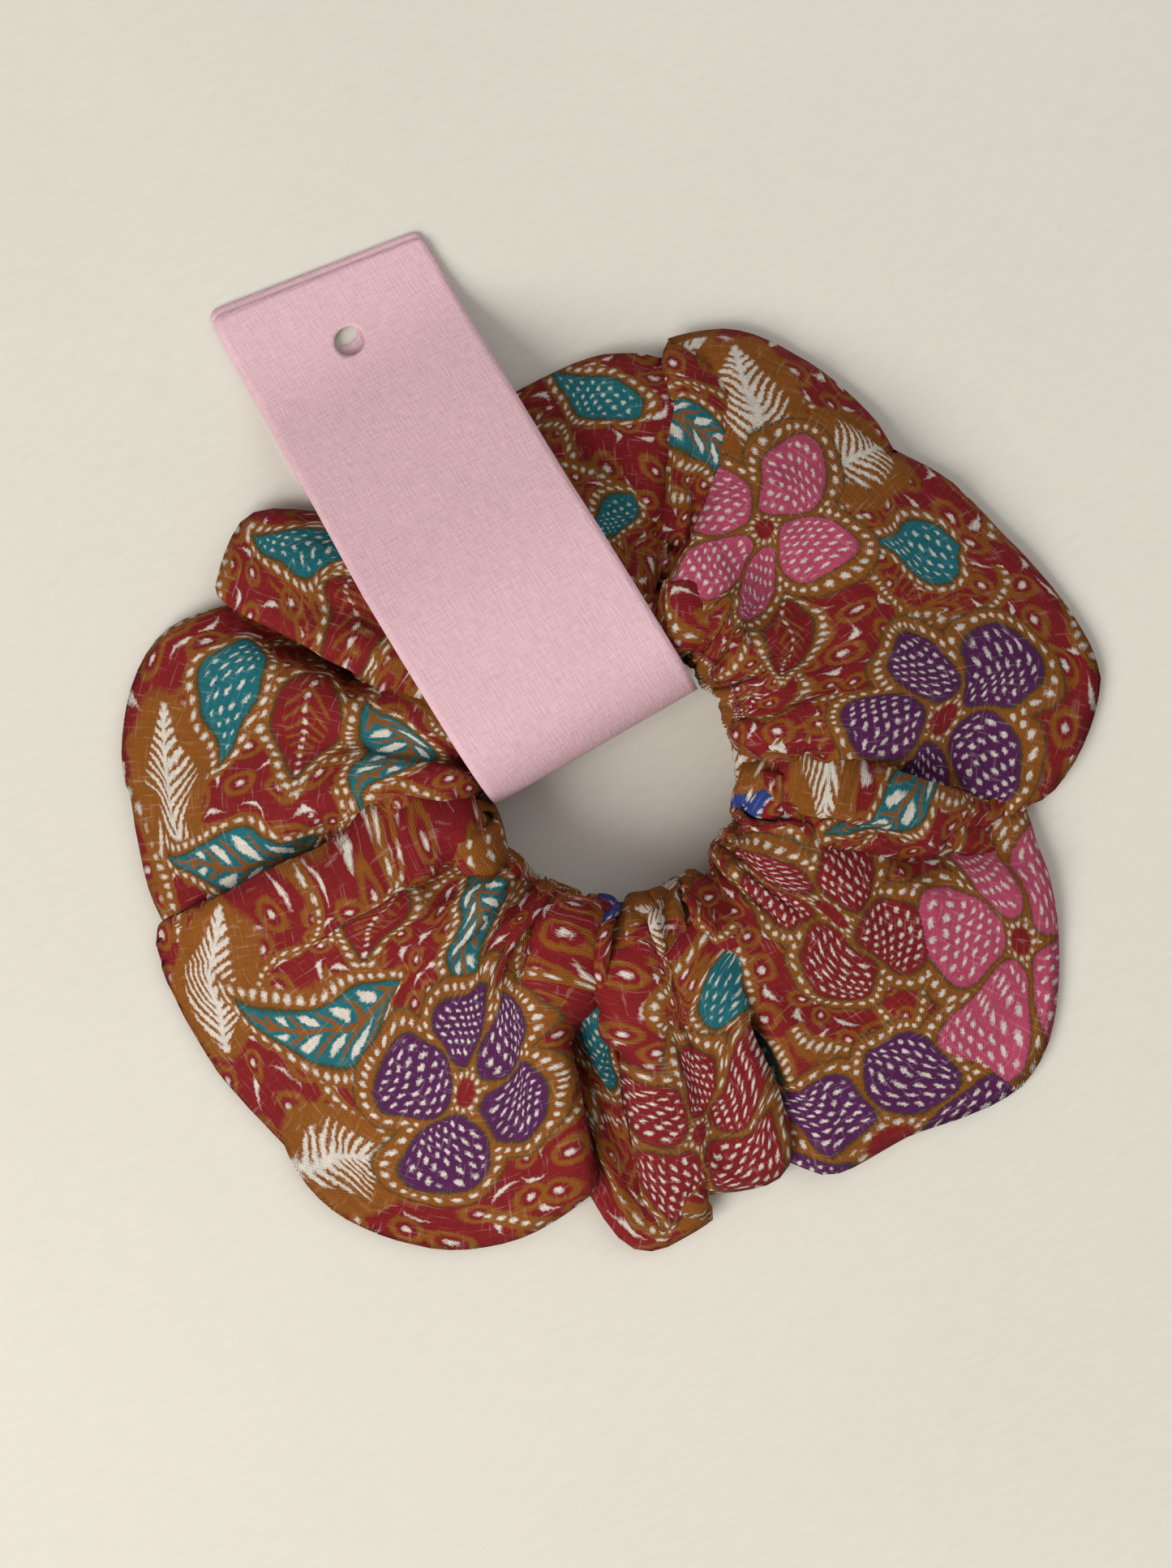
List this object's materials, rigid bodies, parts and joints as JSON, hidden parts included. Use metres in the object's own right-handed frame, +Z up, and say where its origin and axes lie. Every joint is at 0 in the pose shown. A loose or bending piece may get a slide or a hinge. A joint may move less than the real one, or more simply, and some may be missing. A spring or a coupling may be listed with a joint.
{
  "type": "scrunchie",
  "caption": "Gathered printed-cloth hair scrunchie over a sewn elastic loop, lying flat, with a blank folded card hang tag looped through its opening.",
  "frame": {"origin": "middle of the whole footprint, on the surface that the scrunchie and its tag lie on", "axes": "+Z up, +Y along the hang tag from its bend to its hole, +X across the tag to the right"},
  "size_m": [0.118, 0.1342, 0.0203],
  "materials": {
    "printed_cotton": "matte plain weave, batik print",
    "elastic": "braided elastic",
    "thread": "spun polyester thread",
    "card": "linen-embossed card"
  },
  "bodies": {
    "scrunchie": {"cover": "printed_cotton", "elastic_band": "elastic", "elastic_zigzag_needle_thread": "thread", "elastic_zigzag_bobbin_thread": "thread", "long_seam_needle_thread": "thread", "long_seam_bobbin_thread": "thread", "closing_seam_needle_thread": "thread", "closing_seam_bobbin_thread": "thread"},
    "tag_back": {"tag_back_leaf": "card"},
    "tag_front": {"tag_front_leaf": "card"}
  },
  "joints": [
    {"name": "tag_slide_round", "type": "hinge", "parent": "scrunchie", "child": "tag_back", "pos_m": [0, -0.00806, 0], "axis": [0, 0, 1], "continuous": true},
    {"name": "tag_fold", "type": "hinge", "parent": "tag_back", "child": "tag_front", "pos_m": [0, -0.00421, 0.01015], "axis": [1, 0, 0], "range_deg": [0, 100]}
  ]
}
